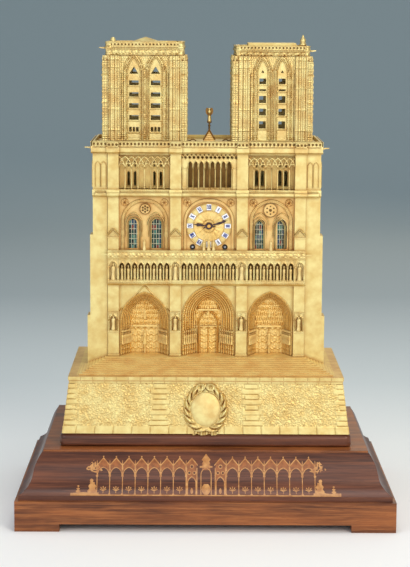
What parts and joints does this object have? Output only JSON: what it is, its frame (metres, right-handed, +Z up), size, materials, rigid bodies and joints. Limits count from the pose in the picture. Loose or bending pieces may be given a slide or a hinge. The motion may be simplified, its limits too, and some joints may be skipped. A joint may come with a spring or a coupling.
{
  "type": "steeple clock",
  "caption": "Gilt mantel clock shaped as a twin-towered cathedral front on a stepped masonry terrace and a veneered wooden base, with hands, movement, pendulum and rear door.",
  "frame": {"origin": "middle of the base's footprint, on the ground under its feet", "axes": "+Z up, the dial faces -Y, +X to the right seen from the front"},
  "size_m": [0.49, 0.33, 0.6322],
  "materials": {
    "gilt_masonry": "matt gilding",
    "gilt_castings": "gilding, burnished on the edges",
    "plinth_veneer": "polished",
    "ogee_veneer": "polished",
    "pale_inlay": "polished",
    "movement_brass": "satin",
    "steel": "polished",
    "blued_steel": "dark blued",
    "white_enamel": "gloss",
    "leaded_glass": "leaded",
    "bell_metal": "satin",
    "dark_collet": "satin"
  },
  "bodies": {
    "case": {"plinth_frame": "plinth_veneer", "ogee_moulding": "ogee_veneer", "carrying_board": "plinth_veneer", "torus_step": "ogee_veneer", "marquetry_inlay": "pale_inlay", "case_bolts": "steel", "terrace_walls": "gilt_masonry", "terrace_coping": "gilt_masonry", "terrace_deck": "gilt_masonry", "medallion": "gilt_castings", "side_walls": "gilt_masonry", "back_wall": "gilt_masonry", "buttress_pillars": "gilt_masonry", "portal_wall": "gilt_masonry", "portal_arches": "gilt_castings", "portal_doors": "gilt_castings", "portal_statues": "gilt_castings", "kings_gallery": "gilt_castings", "gallery_statues": "gilt_castings", "storey_mouldings": "gilt_castings", "window_wall": "gilt_masonry", "window_glass": "leaded_glass", "colonnade": "gilt_castings", "colonnade_wall": "gilt_masonry", "main_cornice": "gilt_castings", "roof_plates": "gilt_masonry", "tower_walls": "gilt_masonry", "tower_piers": "gilt_castings", "tower_cornices": "gilt_castings", "tower_pinnacles": "gilt_castings", "gargoyles": "gilt_castings", "nave_gable": "gilt_castings", "dial_plate": "gilt_castings", "hour_plaques": "white_enamel", "winding_collets": "dark_collet", "movement_plates": "movement_brass", "plate_pillars": "movement_brass", "suspension_cock": "movement_brass", "bell": "bell_metal", "bell_stand": "steel"},
    "minute_hand_set": {"minute_hand": "blued_steel", "cannon_pinion": "movement_brass"},
    "hour_hand_set": {"hour_hand": "blued_steel", "hour_wheel": "movement_brass"},
    "motion_wheel": {"minute_wheel": "movement_brass"},
    "third": {"third_wheel": "movement_brass"},
    "centre": {"centre_wheel": "movement_brass"},
    "intermediate": {"intermediate_wheel": "movement_brass"},
    "going_drum": {"going_barrel": "movement_brass"},
    "escape": {"escape_wheel": "movement_brass"},
    "going_winder": {"going_arbor": "steel"},
    "warning": {"warning_wheel": "movement_brass"},
    "pins": {"pin_wheel": "movement_brass"},
    "strike_drum": {"strike_barrel": "movement_brass"},
    "air_brake": {"fly": "movement_brass"},
    "strike_winder": {"strike_arbor": "steel"},
    "swinging_pendulum": {"pendulum": "movement_brass"},
    "rocking_anchor": {"anchor": "steel"},
    "striking_hammer": {"hammer": "steel"},
    "back_door": {"rear_door": "movement_brass"}
  },
  "joints": [
    {"name": "minute_hand_turn", "type": "hinge", "parent": "case", "child": "minute_hand_set", "pos_m": [0.00309, 0, 0.3797], "axis": [0, 1, 0], "continuous": true},
    {"name": "motion_wheel_turn", "type": "hinge", "parent": "case", "child": "motion_wheel", "pos_m": [-0.00819, 0, 0.3756], "axis": [0, 1, 0], "continuous": true},
    {"name": "hour_hand_turn", "type": "hinge", "parent": "case", "child": "hour_hand_set", "pos_m": [0.00309, 0, 0.3797], "axis": [0, 1, 0], "continuous": true},
    {"name": "third_wheel_turn", "type": "hinge", "parent": "case", "child": "third", "pos_m": [0.01331, 0, 0.39476], "axis": [0, 1, 0], "continuous": true},
    {"name": "centre_wheel_turn", "type": "hinge", "parent": "case", "child": "centre", "pos_m": [0.00309, 0, 0.3797], "axis": [0, 1, 0], "continuous": true},
    {"name": "intermediate_wheel_turn", "type": "hinge", "parent": "case", "child": "intermediate", "pos_m": [0.00661, 0, 0.36156], "axis": [0, 1, 0], "continuous": true},
    {"name": "going_barrel_turn", "type": "hinge", "parent": "case", "child": "going_drum", "pos_m": [0.02459, 0, 0.3513], "axis": [0, 1, 0], "continuous": true},
    {"name": "escape_wheel_turn", "type": "hinge", "parent": "case", "child": "escape", "pos_m": [0.00309, 0, 0.4087], "axis": [0, 1, 0], "continuous": true},
    {"name": "going_arbor_turn", "type": "hinge", "parent": "case", "child": "going_winder", "pos_m": [0.02459, 0, 0.3513], "axis": [0, 1, 0], "continuous": true},
    {"name": "warning_wheel_turn", "type": "hinge", "parent": "case", "child": "warning", "pos_m": [-0.02343, 0, 0.38397], "axis": [0, 1, 0], "continuous": true},
    {"name": "pin_wheel_turn", "type": "hinge", "parent": "case", "child": "pins", "pos_m": [-0.02716, 0, 0.37006], "axis": [0, 1, 0], "continuous": true},
    {"name": "strike_barrel_turn", "type": "hinge", "parent": "case", "child": "strike_drum", "pos_m": [-0.01841, 0, 0.3513], "axis": [0, 1, 0], "continuous": true},
    {"name": "fly_turn", "type": "hinge", "parent": "case", "child": "air_brake", "pos_m": [-0.02143, 0, 0.39531], "axis": [0, 1, 0], "continuous": true},
    {"name": "strike_arbor_turn", "type": "hinge", "parent": "case", "child": "strike_winder", "pos_m": [-0.01841, 0, 0.3513], "axis": [0, 1, 0], "continuous": true},
    {"name": "pendulum_swing", "type": "hinge", "parent": "case", "child": "swinging_pendulum", "pos_m": [0.00309, 0.042, 0.4217], "axis": [0, 1, 0], "range_deg": [-4, 4]},
    {"name": "anchor_rock", "type": "hinge", "parent": "case", "child": "rocking_anchor", "pos_m": [0.00309, 0.02, 0.4217], "axis": [0, 1, 0], "range_deg": [-4, 4]},
    {"name": "hammer_lift", "type": "hinge", "parent": "case", "child": "striking_hammer", "pos_m": [-0.03491, 0, 0.4037], "axis": [0, 1, 0], "range_deg": [-14, 0], "stiffness_Nm_per_rad": 0.02, "springref_deg": 5.16},
    {"name": "rear_door_hinge", "type": "hinge", "parent": "case", "child": "back_door", "pos_m": [-0.05466, 0.09475, 0.325], "axis": [0, 0, 1], "range_deg": [0, 110]}
  ],
  "couplings": [
    {"joint": "motion_wheel_turn", "follows": "minute_hand_turn", "ratio": -0.33333},
    {"joint": "hour_hand_turn", "follows": "minute_hand_turn", "ratio": 0.083333},
    {"joint": "centre_wheel_turn", "follows": "third_wheel_turn", "ratio": -0.083333},
    {"joint": "intermediate_wheel_turn", "follows": "third_wheel_turn", "ratio": 0.013158},
    {"joint": "going_barrel_turn", "follows": "third_wheel_turn", "ratio": -0.0020243},
    {"joint": "escape_wheel_turn", "follows": "third_wheel_turn", "ratio": -12.5},
    {"joint": "pin_wheel_turn", "follows": "warning_wheel_turn", "ratio": -0.11111},
    {"joint": "strike_barrel_turn", "follows": "warning_wheel_turn", "ratio": 0.017094},
    {"joint": "fly_turn", "follows": "warning_wheel_turn", "ratio": -8},
    {"joint": "anchor_rock", "follows": "pendulum_swing", "ratio": 1}
  ]
}
